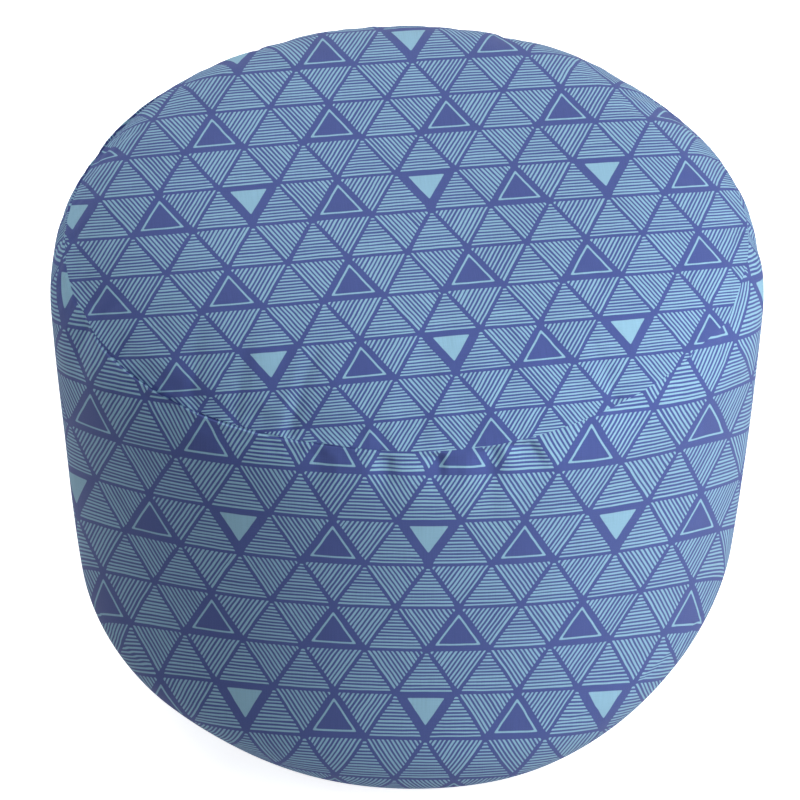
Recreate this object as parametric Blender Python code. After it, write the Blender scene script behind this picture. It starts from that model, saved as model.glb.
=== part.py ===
"""Round floor pouf: a crowned top panel, a tall side band and a flat base panel.

Metres, +Z up, the photographed front towards -Y. The origin is on the floor under the
middle of the pouf. The pouf is one stuffed bag. It is parted here along its two sewn
seams, so each panel that a maker cuts is one filled solid with its share of the stuffing.
"""

import math

import bmesh
import bpy

# Driving sizes
TOP_SEAM_RADIUS = 0.3105
TOP_SEAM_HEIGHT = 0.466
CROWN_HEIGHT = 0.072
BULGE_RADIUS = 0.3250
BULGE_DROP = 0.056
CORNER_RADIUS = 0.3170
CORNER_HEIGHT = 0.112
FLOOR_RADIUS = 0.238
SEAM_GAP = 0.0003

# How round each stretch is
CROWN_POWER = 5.1
SHOULDER_POWER = 2.65
TAPER_POWER = 1.5
CORNER_POWER = 1.65

# The share of the corner's quarter turn that belongs to the side band
BOTTOM_SEAM_TURN = 0.80

# The crease along the top seam: how deep the thread draws it in, and how far the pull reaches
SEAM_PULL = 0.0032
SEAM_PULL_REACH = 0.011
SEAM_PULL_TILT = math.radians(41.0)

# How far the rise and fall of the top seam is felt below it and inside it
SEAM_WAVE_REACH_DOWN = 0.12
SEAM_WAVE_POWER_INSIDE = 4.0

# Facets
TURN_STEPS = 120
CORNER_STEPS = 8
BASE_STEPS = 3
SAME_POINT = 0.00001

# Rings of the top panel, by their distance in from the seam
CROWN_RINGS = (0.0, 0.003, 0.007, 0.013, 0.021, 0.032, 0.048, 0.070, 0.100, 0.140, 0.190, 0.250)

# Rings of the side band, by their drop below the seam
BAND_RINGS = (0.0, 0.003, 0.007, 0.014, 0.024, 0.038, 0.056, 0.080, 0.112, 0.155, 0.205, 0.255, 0.305)

# Slow waves of the top seam's height: turns round the pouf, phase in degrees, rise in metres
SEAM_WAVES = (
    (2, 25.0, 0.0012),
    (3, 150.0, 0.0010),
    (5, 70.0, 0.0008),
    (9, 200.0, 0.0006),
)

# Longer rises and dips of the top seam: bearing and half width in degrees, rise in metres
SEAM_LIFTS = (
    (-64.0, 17.0, -0.0060),
    (-14.0, 22.0, 0.0034),
    (44.0, 20.0, 0.0070),
    (160.0, 30.0, 0.0020),
)

# Slow waves of the side's radius: turns round the pouf, phase in degrees, swell in metres,
# and how many degrees the phase drifts over each metre of height
SIDE_WAVES = (
    (2, 210.0, 0.0010, 160.0),
    (3, 40.0, 0.0009, 260.0),
    (5, 300.0, 0.0007, 340.0),
    (7, 120.0, 0.0005, 500.0),
)

# Soft lumps and hollows of the stuffing in the side:
# bearing and half width in degrees, height and half height in metres, swell in metres
SIDE_LUMPS = (
    (-34.0, 16.0, 0.030, 0.045, -0.0035),
    (-62.0, 18.0, 0.100, 0.060, 0.0022),
    (20.0, 16.0, 0.024, 0.045, 0.0060),
    (52.0, 26.0, 0.110, 0.090, -0.0040),
    (-72.0, 16.0, 0.180, 0.070, 0.0025),
    (-95.0, 20.0, 0.330, 0.080, 0.0015),
    (122.0, 24.0, 0.140, 0.090, 0.0025),
    (-150.0, 26.0, 0.110, 0.090, -0.0025),
    (172.0, 20.0, 0.250, 0.110, 0.0020),
)

# Gathers drawn down from the top seam into the band:
# bearing and half width in degrees, depth and length in metres
BAND_PUCKERS = (
    (-65.0, 3.4, 0.0050, 0.050),
    (-40.0, 3.0, 0.0018, 0.030),
    (-12.0, 3.2, 0.0034, 0.040),
    (-2.0, 2.6, 0.0026, 0.034),
    (6.0, 2.6, 0.0028, 0.036),
    (15.0, 3.2, 0.0055, 0.062),
    (38.0, 3.4, 0.0036, 0.034),
    (63.0, 3.0, 0.0020, 0.034),
    (93.0, 3.4, 0.0030, 0.044),
    (120.0, 3.0, 0.0034, 0.040),
    (144.0, 3.2, 0.0042, 0.050),
    (165.0, 2.8, 0.0026, 0.036),
    (-165.0, 3.2, 0.0036, 0.044),
    (-138.0, 3.4, 0.0030, 0.040),
    (-111.0, 3.0, 0.0040, 0.052),
    (-90.0, 3.0, 0.0022, 0.034),
)
PUCKER_START = 0.010

# Shallow valleys that lie in the top panel beside its seam:
# bearing and half width in degrees, distance in from the seam, half breadth and depth in metres
CROWN_VALLEYS = (
    (-47.0, 9.0, 0.014, 0.011, 0.0042),
    (-29.0, 7.0, 0.013, 0.010, 0.0036),
    (-15.0, 6.0, 0.012, 0.010, 0.0028),
    (-66.0, 6.0, 0.014, 0.012, 0.0030),
    (2.0, 8.0, 0.011, 0.009, 0.0016),
    (36.0, 6.0, 0.012, 0.010, 0.0026),
    (85.0, 9.0, 0.014, 0.011, 0.0022),
    (128.0, 9.0, 0.014, 0.011, 0.0030),
    (160.0, 8.0, 0.013, 0.010, 0.0024),
    (-150.0, 9.0, 0.014, 0.011, 0.0032),
    (-112.0, 9.0, 0.014, 0.011, 0.0028),
)

# Broad hollows of the stuffing under the top panel:
# bearing in degrees, distance from the middle, half breadth and depth in metres
CROWN_HOLLOWS = (
    (-70.0, 0.190, 0.085, 0.0030),
    (25.0, 0.150, 0.080, 0.0022),
    (120.0, 0.130, 0.070, 0.0018),
)

# The band's own closing seam, a plain upright crease at the back
CLOSING_SEAM_BEARING = 180.0
CLOSING_SEAM_HALF_WIDTH = 2.2
CLOSING_SEAM_DEPTH = 0.0030

# Finishes: colour, roughness
PRINTED_COTTON = ((0.100, 0.140, 0.360, 1.0), 0.88)
PLAIN_COTTON = ((0.065, 0.085, 0.240, 1.0), 0.90)


def clear_scene():
    """Remove what the opened file holds."""
    for thing in list(bpy.data.objects):
        bpy.data.objects.remove(thing, do_unlink=True)


def bell(offset, half_width):
    """Return a soft bump, 1 at no offset and near 0 past two half widths."""
    return math.exp(-((offset / half_width) ** 2))


def ease(share):
    """Return a smooth step from 0 to 1."""
    share = min(max(share, 0.0), 1.0)
    return share * share * (3.0 - 2.0 * share)


def bearing_of(place):
    """Return the bearing of a point in degrees, 0 at the front and positive towards +X."""
    return math.degrees(math.atan2(place.x, -place.y))


def turn_between(bearing, centre):
    """Return the signed turn from one bearing to another in degrees, at most half a turn."""
    return (bearing - centre + 180.0) % 360.0 - 180.0


def wave(turns, phase, bearing):
    """Return one slow wave round the pouf."""
    return math.sin(math.radians(turns * bearing + phase))


def seam_rise(bearing):
    """Return how far the top seam rises above its mean height."""
    rise = sum(size * wave(turns, phase, bearing) for turns, phase, size in SEAM_WAVES)
    for centre, half_width, lift in SEAM_LIFTS:
        rise += lift * bell(turn_between(bearing, centre), half_width)
    return rise


def seam_pull(distance):
    """Return how far the seam's thread draws the cloth in, at a distance along the cloth."""
    return SEAM_PULL * (1.0 - ease(distance / SEAM_PULL_REACH))


def crown_height(radius):
    """Return the height of the top panel above its seam."""
    return CROWN_HEIGHT * (1.0 - (radius / TOP_SEAM_RADIUS) ** CROWN_POWER)


def side_radius(drop):
    """Return the radius of the side at a drop below the top seam, down to the corner."""
    if drop <= BULGE_DROP:
        share = 1.0 - drop / BULGE_DROP
        return TOP_SEAM_RADIUS + (BULGE_RADIUS - TOP_SEAM_RADIUS) * (1.0 - share ** SHOULDER_POWER)
    taper_length = TOP_SEAM_HEIGHT - CORNER_HEIGHT - BULGE_DROP
    share = (drop - BULGE_DROP) / taper_length
    return BULGE_RADIUS + (CORNER_RADIUS - BULGE_RADIUS) * share ** TAPER_POWER


def corner_point(turn):
    """Return radius and height on the rounded bottom corner, turn 0 at its top and 1 on the floor."""
    angle = turn * math.pi / 2.0
    outward = math.cos(angle) ** (2.0 / CORNER_POWER)
    downward = math.sin(angle) ** (2.0 / CORNER_POWER)
    radius = FLOOR_RADIUS + (CORNER_RADIUS - FLOOR_RADIUS) * outward
    return radius, CORNER_HEIGHT * (1.0 - downward)


def top_profile():
    """Return the top panel's section, from the middle of its cut underside to its crown."""
    cut = TOP_SEAM_HEIGHT + SEAM_GAP / 2.0 - SEAM_PULL * math.sin(SEAM_PULL_TILT)
    section = [(0.0, cut)]
    for distance in CROWN_RINGS:
        pull = seam_pull(distance)
        radius = TOP_SEAM_RADIUS - distance
        height = TOP_SEAM_HEIGHT + SEAM_GAP / 2.0 + crown_height(radius)
        section.append((
            radius - pull * math.cos(SEAM_PULL_TILT),
            height - pull * math.sin(SEAM_PULL_TILT),
        ))
    section.append((0.0, TOP_SEAM_HEIGHT + CROWN_HEIGHT))
    return section


def band_profile():
    """Return the side band's section, from its cut top, down the side, to its cut bottom."""
    cut = TOP_SEAM_HEIGHT - SEAM_GAP / 2.0 - SEAM_PULL * math.sin(SEAM_PULL_TILT)
    section = [(0.0, cut)]
    for drop in BAND_RINGS:
        pull = seam_pull(drop)
        section.append((
            side_radius(drop) - pull * math.cos(SEAM_PULL_TILT),
            TOP_SEAM_HEIGHT - SEAM_GAP / 2.0 - drop - pull * math.sin(SEAM_PULL_TILT),
        ))
    for step in range(CORNER_STEPS + 1):
        section.append(corner_point(BOTTOM_SEAM_TURN * step / CORNER_STEPS))
    seam_radius, seam_height = corner_point(BOTTOM_SEAM_TURN)
    section[-1] = (seam_radius, seam_height + SEAM_GAP / 2.0)
    section.append((0.0, seam_height + SEAM_GAP / 2.0))
    return section


def base_profile():
    """Return the base panel's section, from its cut top to the middle of its floor face."""
    seam_radius, seam_height = corner_point(BOTTOM_SEAM_TURN)
    section = [(0.0, seam_height - SEAM_GAP / 2.0), (seam_radius, seam_height - SEAM_GAP / 2.0)]
    for step in range(1, BASE_STEPS + 1):
        turn = BOTTOM_SEAM_TURN + (1.0 - BOTTOM_SEAM_TURN) * step / BASE_STEPS
        section.append(corner_point(turn))
    section[-1] = (FLOOR_RADIUS, 0.0)
    section.append((0.0, 0.0))
    return section


def valley_depth(radius, bearing):
    """Return how far the top panel sinks beside its seam."""
    inside = TOP_SEAM_RADIUS - radius
    depth = 0.0
    for centre, half_width, distance, half_breadth, sink in CROWN_VALLEYS:
        across = bell(inside - distance, half_breadth) * ease(inside / (distance / 2.0))
        depth += sink * across * bell(turn_between(bearing, centre), half_width)
    return depth


def hollow_depth(place):
    """Return how far the top panel sinks where the stuffing under it is thin."""
    depth = 0.0
    for bearing, distance, half_breadth, sink in CROWN_HOLLOWS:
        angle = math.radians(bearing)
        offset = math.hypot(place.x - distance * math.sin(angle), place.y + distance * math.cos(angle))
        depth += sink * bell(offset, half_breadth)
    return depth


def shape_top(place):
    """Move one point of the turned top panel to its place on the uneven one."""
    radius = math.hypot(place.x, place.y)
    bearing = bearing_of(place)
    share = min(radius / TOP_SEAM_RADIUS, 1.0)
    rise = seam_rise(bearing) * share ** SEAM_WAVE_POWER_INSIDE
    on_the_cut = place.z < TOP_SEAM_HEIGHT
    sink = 0.0 if on_the_cut else valley_depth(radius, bearing) + hollow_depth(place) * (1.0 - share ** 8)
    place.z += rise - sink


def pucker_depth(drop, bearing):
    """Return how far the band is drawn in by the gathers under its top seam."""
    depth = 0.0
    for centre, half_width, sink, length in BAND_PUCKERS:
        along = ease(drop / PUCKER_START) * bell(max(drop - PUCKER_START, 0.0), length)
        depth += sink * along * bell(turn_between(bearing, centre), half_width)
    return depth


def side_swell(height, bearing):
    """Return how far the stuffing pushes the side out from its mean radius."""
    swell = 0.0
    for turns, phase, size, drift in SIDE_WAVES:
        swell += size * wave(turns, phase + drift * height, bearing)
    for centre, half_width, middle, half_height, size in SIDE_LUMPS:
        swell += size * bell(turn_between(bearing, centre), half_width) * bell(height - middle, half_height)
    return swell


def shape_band(place):
    """Move one point of the turned side band to its place on the uneven one."""
    radius = math.hypot(place.x, place.y)
    if radius < SAME_POINT:
        return
    bearing = bearing_of(place)
    drop = max(TOP_SEAM_HEIGHT - place.z, 0.0)
    seam_height = corner_point(BOTTOM_SEAM_TURN)[1]
    free = ease(drop / BULGE_DROP) * ease((place.z - seam_height) / (CORNER_HEIGHT / 3.0))
    closing = CLOSING_SEAM_DEPTH * bell(turn_between(bearing, CLOSING_SEAM_BEARING), CLOSING_SEAM_HALF_WIDTH)
    shift = (side_swell(place.z, bearing) - closing) * free - pucker_depth(drop, bearing)
    place.x *= (radius + shift) / radius
    place.y *= (radius + shift) / radius
    place.z += seam_rise(bearing) * bell(drop, SEAM_WAVE_REACH_DOWN)


def leave_as_turned(place):
    """Keep one point of the base panel, which the floor holds flat."""


def cloth(name, finish):
    """Return a matt material for one panel."""
    colour, roughness = finish
    material = bpy.data.materials.new(name)
    material.use_nodes = True
    shader = material.node_tree.nodes["Principled BSDF"]
    shader.inputs["Base Color"].default_value = colour
    shader.inputs["Roughness"].default_value = roughness
    shader.inputs["Metallic"].default_value = 0.0
    material.diffuse_color = colour
    return material


def turned_panel(name, section, shape_point, finish):
    """Turn a section about the pouf's axis, make it uneven and return it as one closed object."""
    turned = bmesh.new()
    corners = [turned.verts.new((radius, 0.0, height)) for radius, height in section]
    edges = [turned.edges.new(pair) for pair in zip(corners, corners[1:])]
    bmesh.ops.spin(
        turned,
        geom=corners + edges,
        cent=(0.0, 0.0, 0.0),
        axis=(0.0, 0.0, 1.0),
        angle=2.0 * math.pi,
        steps=TURN_STEPS,
        use_merge=True,
    )
    bmesh.ops.remove_doubles(turned, verts=turned.verts[:], dist=SAME_POINT)
    for corner in turned.verts:
        shape_point(corner.co)
    bmesh.ops.recalc_face_normals(turned, faces=turned.faces[:])
    mesh = bpy.data.meshes.new(name)
    turned.to_mesh(mesh)
    turned.free()
    mesh.shade_smooth()
    mesh.set_sharp_from_angle(angle=math.radians(50.0))
    mesh.materials.append(cloth(name + "_cloth", finish))
    panel = bpy.data.objects.new(name, mesh)
    bpy.context.scene.collection.objects.link(panel)
    return panel


def main():
    """Build the three panels of the pouf."""
    clear_scene()
    turned_panel("top_panel", top_profile(), shape_top, PRINTED_COTTON)
    turned_panel("side_band", band_profile(), shape_band, PRINTED_COTTON)
    turned_panel("base_panel", base_profile(), leave_as_turned, PLAIN_COTTON)


main()
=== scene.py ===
"""Round floor pouf, dressed in cotton printed with hatched triangles.

Metres, +Z up, the photographed front towards -Y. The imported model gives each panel's
place and size. Each panel is covered with cloth that starts from the panel's own skin,
is blown out and puckered at its seams, and carries the print in its own UV map.
"""

from __future__ import annotations

import logging
import math
from collections.abc import Callable
from dataclasses import dataclass
from enum import Enum
from typing import ClassVar

import bmesh
import bpy
import numpy as np
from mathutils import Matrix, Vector, noise
from mathutils.kdtree import KDTree


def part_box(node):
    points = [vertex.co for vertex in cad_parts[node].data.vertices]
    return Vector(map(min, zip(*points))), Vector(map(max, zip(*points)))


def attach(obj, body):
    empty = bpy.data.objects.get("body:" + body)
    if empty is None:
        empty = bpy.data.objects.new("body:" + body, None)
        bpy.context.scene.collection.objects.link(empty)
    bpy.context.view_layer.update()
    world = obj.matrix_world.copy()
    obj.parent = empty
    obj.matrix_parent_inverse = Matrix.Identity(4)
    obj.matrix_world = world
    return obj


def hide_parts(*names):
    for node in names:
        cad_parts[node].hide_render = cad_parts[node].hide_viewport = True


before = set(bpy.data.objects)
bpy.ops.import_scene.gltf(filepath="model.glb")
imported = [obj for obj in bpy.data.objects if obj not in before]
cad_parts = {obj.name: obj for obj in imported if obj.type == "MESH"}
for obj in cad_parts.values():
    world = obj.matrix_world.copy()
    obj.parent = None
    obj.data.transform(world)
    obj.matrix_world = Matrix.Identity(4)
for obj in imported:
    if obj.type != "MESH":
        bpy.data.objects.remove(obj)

LOG = logging.getLogger("pouf")
BODY = "root"
SAME_POINT = 0.00001
PRINT_MAP = "print"


class Slot(Enum):
    """The record's material slots."""

    PRINTED = "printed_cotton"
    PLAIN = "plain_cotton"


def ease(share: float) -> float:
    """Return a smooth step from 0 to 1.

    Args:
        share: How far along the step, clamped to 0 and 1.

    Returns:
        The eased share.
    """
    share = min(max(share, 0.0), 1.0)
    return share * share * (3.0 - 2.0 * share)


def eased_run(angle: float, start: float, end: float) -> float:
    """Return the run of a slope that eases from 0 at start to 1 at end and then holds.

    Args:
        angle: Where the run is read.
        start: Where the slope begins to grow.
        end: Where the slope reaches 1.

    Returns:
        The integral of the slope from start to angle.
    """
    width = end - start
    share = min(max((angle - start) / width, 0.0), 1.0)
    grown = width * (share**3 - share**4 / 2.0)
    return grown + max(angle - end, 0.0)


def bell(offset: float, half_width: float) -> float:
    """Return a soft bump, 1 at no offset and near 0 past two half widths."""
    return math.exp(-((offset / half_width) ** 2))


def bearing_of(place: Vector) -> float:
    """Return a point's bearing in radians, 0 at the front and positive towards +X."""
    return math.atan2(place.x, -place.y)


def turn_between(bearing: float, centre: float) -> float:
    """Return the signed turn from one bearing to another in degrees, at most half a turn."""
    return (bearing - centre + 180.0) % 360.0 - 180.0


def outward(bearing: float, tilt: float) -> Vector:
    """Return the direction straight out of the cloth.

    Args:
        bearing: The bearing in radians.
        tilt: How far the direction points up, in radians.

    Returns:
        A vector one long.
    """
    level = math.cos(tilt)
    return Vector((math.sin(bearing) * level, -math.cos(bearing) * level, math.sin(tilt)))


def downward(bearing: float, tilt: float) -> Vector:
    """Return the direction down along the cloth, square to its outward direction."""
    level = math.sin(tilt)
    return Vector((math.sin(bearing) * level, -math.cos(bearing) * level, -math.cos(tilt)))


@dataclass(frozen=True)
class Swell:
    """A soft change along the seam: bearing and half width in degrees, size in metres."""

    bearing: float
    half_width: float
    size: float

    def at(self, bearing: float) -> float:
        """Return the change at a bearing in degrees."""
        return self.size * bell(turn_between(bearing, self.bearing), self.half_width)


@dataclass(frozen=True)
class Gather:
    """A crease that runs down the band from the top seam and widens as it goes.

    The bearing, half widths and farthest reach are degrees, and the left and right half
    widths may differ, which makes one flank steeper. The slant is degrees for each metre
    of drop, and the rest are metres: the crease grows over its rise, and over each
    widening it gains its first width again. A depth below 0 fills a crease of the packed
    band.
    """

    farthest: ClassVar[float] = 18.0

    bearing: float
    left: float
    right: float
    depth: float
    length: float
    start: float = 0.0
    rise: float = 0.004
    widening: float = 0.050
    slant: float = 0.0

    def at(self, bearing: float, drop: float) -> float:
        """Return how deep the crease is at a point of the band.

        Args:
            bearing: The point's bearing in degrees.
            drop: How far it lies below the seam.

        Returns:
            The depth, below 0 where the crease is filled.
        """
        turn = turn_between(bearing, self.bearing + self.slant * drop)
        past = drop - self.start
        if past <= 0.0 or abs(turn) > self.farthest:
            return 0.0
        width = (self.left if turn < 0.0 else self.right) * (1.0 + past / self.widening)
        return self.depth * bell(turn, width) * ease(past / self.rise) * bell(past, self.length)


@dataclass(frozen=True)
class Trough:
    """A short valley in the top panel. Its ends, half width and depth are metres.

    It is cut off a few half widths aside, and fades past its end over a share of its run.
    """

    cut_off: ClassVar[float] = 4.0
    fading: ClassVar[float] = 0.8

    start: tuple[float, float]
    end: tuple[float, float]
    half_width: float
    depth: float

    def at(self, place: Vector) -> float:
        """Return how deep the valley is at a point.

        Args:
            place: The point.

        Returns:
            The depth.
        """
        run = Vector(self.end) - Vector(self.start)
        offset = place.to_2d() - Vector(self.start)
        share = offset.dot(run) / run.length_squared
        aside = abs(offset.cross(run)) / run.length
        if aside > self.cut_off * self.half_width:
            return 0.0
        past = max(share - 1.0, 0.0)
        return self.depth * bell(aside, self.half_width) * bell(past, self.fading)


@dataclass
class SeamLine:
    """The top seam, where the top panel and the side band are sewn edge to edge.

    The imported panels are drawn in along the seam. The covers let that out, so they meet
    flush. Distances are metres of cloth from the seam, down the band or in over the top.
    The seam line wanders down and up the cloth, the band's edge stands proud as a lip in
    places, and the cloth is tucked down behind it there.
    """

    radius: float = 0.3105
    pull: float = 0.0032
    pull_reach: float = 0.011
    pull_tilt: float = math.radians(41.0)
    search_rounds: int = 4

    shift: float = -0.0009
    wander: tuple[Swell, ...] = (
        Swell(-67.0, 4.0, -0.0030),
        Swell(-28.0, 8.0, -0.0012),
        Swell(-12.0, 4.0, -0.0010),
        Swell(55.0, 3.0, -0.0015),
        Swell(64.5, 3.0, 0.0035),
        Swell(76.0, 4.0, -0.0015),
        Swell(118.0, 5.0, 0.0018),
        Swell(-140.0, 6.0, -0.0016),
    )
    wander_reach: float = 0.040

    proud: tuple[Swell, ...] = (
        Swell(-44.0, 20.0, 0.0028),
        Swell(-8.0, 16.0, 0.0010),
        Swell(-120.0, 25.0, 0.0018),
        Swell(150.0, 24.0, 0.0014),
    )

    tucked: tuple[Swell, ...] = (
        Swell(-44.0, 19.0, 0.0032),
        Swell(-10.0, 16.0, 0.0012),
        Swell(-120.0, 25.0, 0.0022),
        Swell(150.0, 24.0, 0.0020),
    )

    fine_ripple: float = 0.00020
    fine_turn: float = math.radians(0.8)
    fine_reach: float = 0.007
    fine_seed: float = 3.0
    broad_ripple: float = 0.00045
    broad_turn: float = math.radians(2.7)
    broad_reach: float = 0.014
    broad_seed: float = 8.0
    lively: Swell = Swell(-45.0, 40.0, 0.7)

    turn_step: float = 3.0

    def __post_init__(self) -> None:
        """Read the seam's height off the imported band, at each of its steps round."""
        edge = self.radius - self.pull_reach
        self.heights = {}
        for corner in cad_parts["side_band"].data.vertices:
            place = corner.co
            if math.hypot(place.x, place.y) > edge:
                step = round(math.degrees(bearing_of(place)) / self.turn_step) % self.steps
                self.heights[step] = max(self.heights.get(step, 0.0), place.z)

    @property
    def steps(self) -> int:
        """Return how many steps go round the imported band."""
        return round(360.0 / self.turn_step)

    def height_at(self, bearing: float) -> float:
        """Return the height where the cloth meets the seam once the pull is let out.

        Args:
            bearing: The bearing in radians.

        Returns:
            The height.
        """
        turn = math.degrees(bearing) / self.turn_step
        step = math.floor(turn)
        low, high = self.heights[step % self.steps], self.heights[(step + 1) % self.steps]
        return low + (high - low) * (turn - step) + self.pull * math.sin(self.pull_tilt)

    def pull_at(self, distance: float) -> float:
        """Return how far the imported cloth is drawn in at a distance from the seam."""
        return self.pull * (1.0 - ease(distance / self.pull_reach))

    def drop_of(self, place: Vector) -> float:
        """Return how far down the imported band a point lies."""
        whole = self.height_at(bearing_of(place)) - place.z
        return self.less_the_pull(whole, math.sin(self.pull_tilt))

    def inside_of(self, place: Vector) -> float:
        """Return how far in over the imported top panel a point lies."""
        whole = self.radius - math.hypot(place.x, place.y)
        return self.less_the_pull(whole, math.cos(self.pull_tilt))

    def less_the_pull(self, whole: float, part: float) -> float:
        """Return a point's distance from the seam as it is once the pull is let out.

        Args:
            whole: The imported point's distance from where the seam then runs.
            part: The share of the pull that lies along that distance.

        Returns:
            The distance, never below 0.
        """
        distance = whole
        for _ in range(self.search_rounds):
            distance = whole - self.pull_at(distance) * part
        return max(distance, 0.0)

    def settle(self, bearing: float, distance: float, tilt: float) -> Vector:
        """Return how a point moves when the pull is let out and the seam line wanders.

        Args:
            bearing: The point's bearing in radians.
            distance: Its distance from the seam.
            tilt: How far the cloth's outward direction points up there.

        Returns:
            The move.
        """
        slide = self.shift + self.sum_at(self.wander, bearing)
        slide *= 1.0 - ease(distance / self.wander_reach)
        let_out = outward(bearing, self.pull_tilt) * self.pull_at(distance)
        return let_out + downward(bearing, tilt) * slide

    @staticmethod
    def sum_at(swells: tuple[Swell, ...], bearing: float) -> float:
        """Return what soft changes add up to at a bearing in radians."""
        return sum(swell.at(math.degrees(bearing)) for swell in swells)

    def tuck(self, bearing: float, share: float) -> Vector:
        """Return how a share of the tuck takes the cloth down behind the band's lip."""
        return Vector((0.0, 0.0, -share * self.sum_at(self.tucked, bearing)))

    def ripple(self, bearing: float, distance: float) -> float:
        """Return the small unevenness that the stitches leave, alike on both panels.

        Args:
            bearing: The point's bearing in radians.
            distance: Its distance from the seam.

        Returns:
            How far the cloth rises there.
        """
        fine = self.circle_noise(bearing, self.fine_turn, self.fine_seed)
        fine *= self.fine_ripple * bell(distance, self.fine_reach)
        broad = self.circle_noise(bearing, self.broad_turn, self.broad_seed)
        broad *= self.broad_ripple * bell(distance, self.broad_reach)
        return (1.0 + self.lively.at(math.degrees(bearing))) * (fine + broad)

    @staticmethod
    def circle_noise(bearing: float, turn: float, seed: float) -> float:
        """Return noise from -1 to 1 that closes on itself round the seam.

        Args:
            bearing: The bearing in radians.
            turn: The turn over which the noise changes, in radians.
            seed: A number that gives each ripple a noise of its own.

        Returns:
            The noise.
        """
        return noise.noise(Vector((math.sin(bearing) / turn, math.cos(bearing) / turn, seed)))


@dataclass(frozen=True)
class Term:
    """One number that a material works out at each point of the cloth."""

    whole_slack: ClassVar[float] = 0.25

    tree: bpy.types.NodeTree
    socket: bpy.types.NodeSocket

    def math(self, operation: str, *others: Term | float) -> Term:
        """Return this number joined with others by one Math node.

        Args:
            operation: The Math node's operation.
            others: The node's further inputs.

        Returns:
            The node's result.
        """
        node = self.tree.nodes.new("ShaderNodeMath")
        node.operation = operation
        for entry, term in zip(node.inputs, (self, *others)):
            if isinstance(term, Term):
                self.tree.links.new(term.socket, entry)
            else:
                entry.default_value = term
        return Term(self.tree, node.outputs[0])

    def __add__(self, other: Term | float) -> Term:
        """Return the sum."""
        return self.math("ADD", other)

    def __sub__(self, other: Term | float) -> Term:
        """Return the difference."""
        return self.math("SUBTRACT", other)

    def __mul__(self, other: Term | float) -> Term:
        """Return the product."""
        return self.math("MULTIPLY", other)

    def less_from(self, whole: float) -> Term:
        """Return a whole less this number."""
        return (self * -1.0) + whole

    def modulo(self, turn: float) -> Term:
        """Return what is left after whole turns, never below 0."""
        return self.math("FLOORED_MODULO", turn)

    def equals(self, value: float) -> Term:
        """Return 1 where this whole number has a value, and else 0."""
        return self.math("COMPARE", value, self.whole_slack)

    def rises_past(self, edge: Term | float, softness: float) -> Term:
        """Return a soft step from 0 below an edge to 1 above it.

        Args:
            edge: Where the step is half way.
            softness: Half the step's width.

        Returns:
            The step.
        """
        node = self.tree.nodes.new("ShaderNodeMapRange")
        node.interpolation_type = "SMOOTHSTEP"
        self.tree.links.new((self - edge).socket, node.inputs["Value"])
        node.inputs["From Min"].default_value = -softness
        node.inputs["From Max"].default_value = softness
        return Term(self.tree, node.outputs["Result"])


class ClothRecipe:
    """The node tree of one cloth, with the lookups that its pattern and weave share."""

    # The numbers of a Mix node's colour sockets, two in and one out
    first_colour: ClassVar[int] = 6
    second_colour: ClassVar[int] = 7
    mixed_colour: ClassVar[int] = 2

    def __init__(self, name: str) -> None:
        """Start a material.

        Args:
            name: The material's name.
        """
        self.material = bpy.data.materials.new(name)
        self.material.use_nodes = True
        self.tree = self.material.node_tree
        self.shader = self.tree.nodes["Principled BSDF"]

    def link(self, source: bpy.types.NodeSocket, target: bpy.types.NodeSocket) -> None:
        """Join one node's output to another node's input."""
        self.tree.links.new(source, target)

    def print_place(self) -> tuple[Term, Term]:
        """Read the print's coordinates off the cloth.

        Returns:
            The triangle sides across and the rows down.
        """
        reader = self.tree.nodes.new("ShaderNodeUVMap")
        reader.uv_map = PRINT_MAP
        parts = self.tree.nodes.new("ShaderNodeSeparateXYZ")
        self.link(reader.outputs["UV"], parts.inputs["Vector"])
        return Term(self.tree, parts.outputs["X"]), Term(self.tree, parts.outputs["Y"])

    def vector(self, across: Term, down: Term, third: Term | float = 0.0) -> bpy.types.NodeSocket:
        """Return numbers joined as one place for a texture to read.

        Args:
            across: The first number.
            down: The second number.
            third: The third number.

        Returns:
            The place.
        """
        node = self.tree.nodes.new("ShaderNodeCombineXYZ")
        for entry, term in zip(node.inputs, (across, down, third)):
            if isinstance(term, Term):
                self.link(term.socket, entry)
            else:
                entry.default_value = term
        return node.outputs["Vector"]

    def mottle(self, place: bpy.types.NodeSocket, scale: float, detail: float) -> Term:
        """Return a soft noise about 0.5.

        Args:
            place: Where the noise is read.
            scale: Its grains in each unit of the place.
            detail: Its finer layers.

        Returns:
            The noise.
        """
        node = self.tree.nodes.new("ShaderNodeTexNoise")
        node.inputs["Scale"].default_value = scale
        node.inputs["Detail"].default_value = detail
        self.link(place, node.inputs["Vector"])
        return Term(self.tree, node.outputs["Fac"])

    def chance(self, place: bpy.types.NodeSocket) -> Term:
        """Return a number that differs at random from place to place.

        Args:
            place: Where the number is read, the same all over a part of the print.

        Returns:
            The number, from 0 to 1.
        """
        node = self.tree.nodes.new("ShaderNodeTexWhiteNoise")
        node.noise_dimensions = "3D"
        self.link(place, node.inputs["Vector"])
        return Term(self.tree, node.outputs["Value"])

    def blend(
        self,
        share: Term,
        low: tuple[float, float, float],
        high: tuple[float, float, float],
    ) -> bpy.types.NodeSocket:
        """Return one colour mixed into another.

        Args:
            share: How much of the second colour shows.
            low: The first colour.
            high: The second colour.

        Returns:
            The mixed colour.
        """
        node = self.tree.nodes.new("ShaderNodeMix")
        node.data_type = "RGBA"
        self.link(share.socket, node.inputs["Factor"])
        node.inputs[self.first_colour].default_value = (*low, 1.0)
        node.inputs[self.second_colour].default_value = (*high, 1.0)
        return node.outputs[self.mixed_colour]


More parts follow.
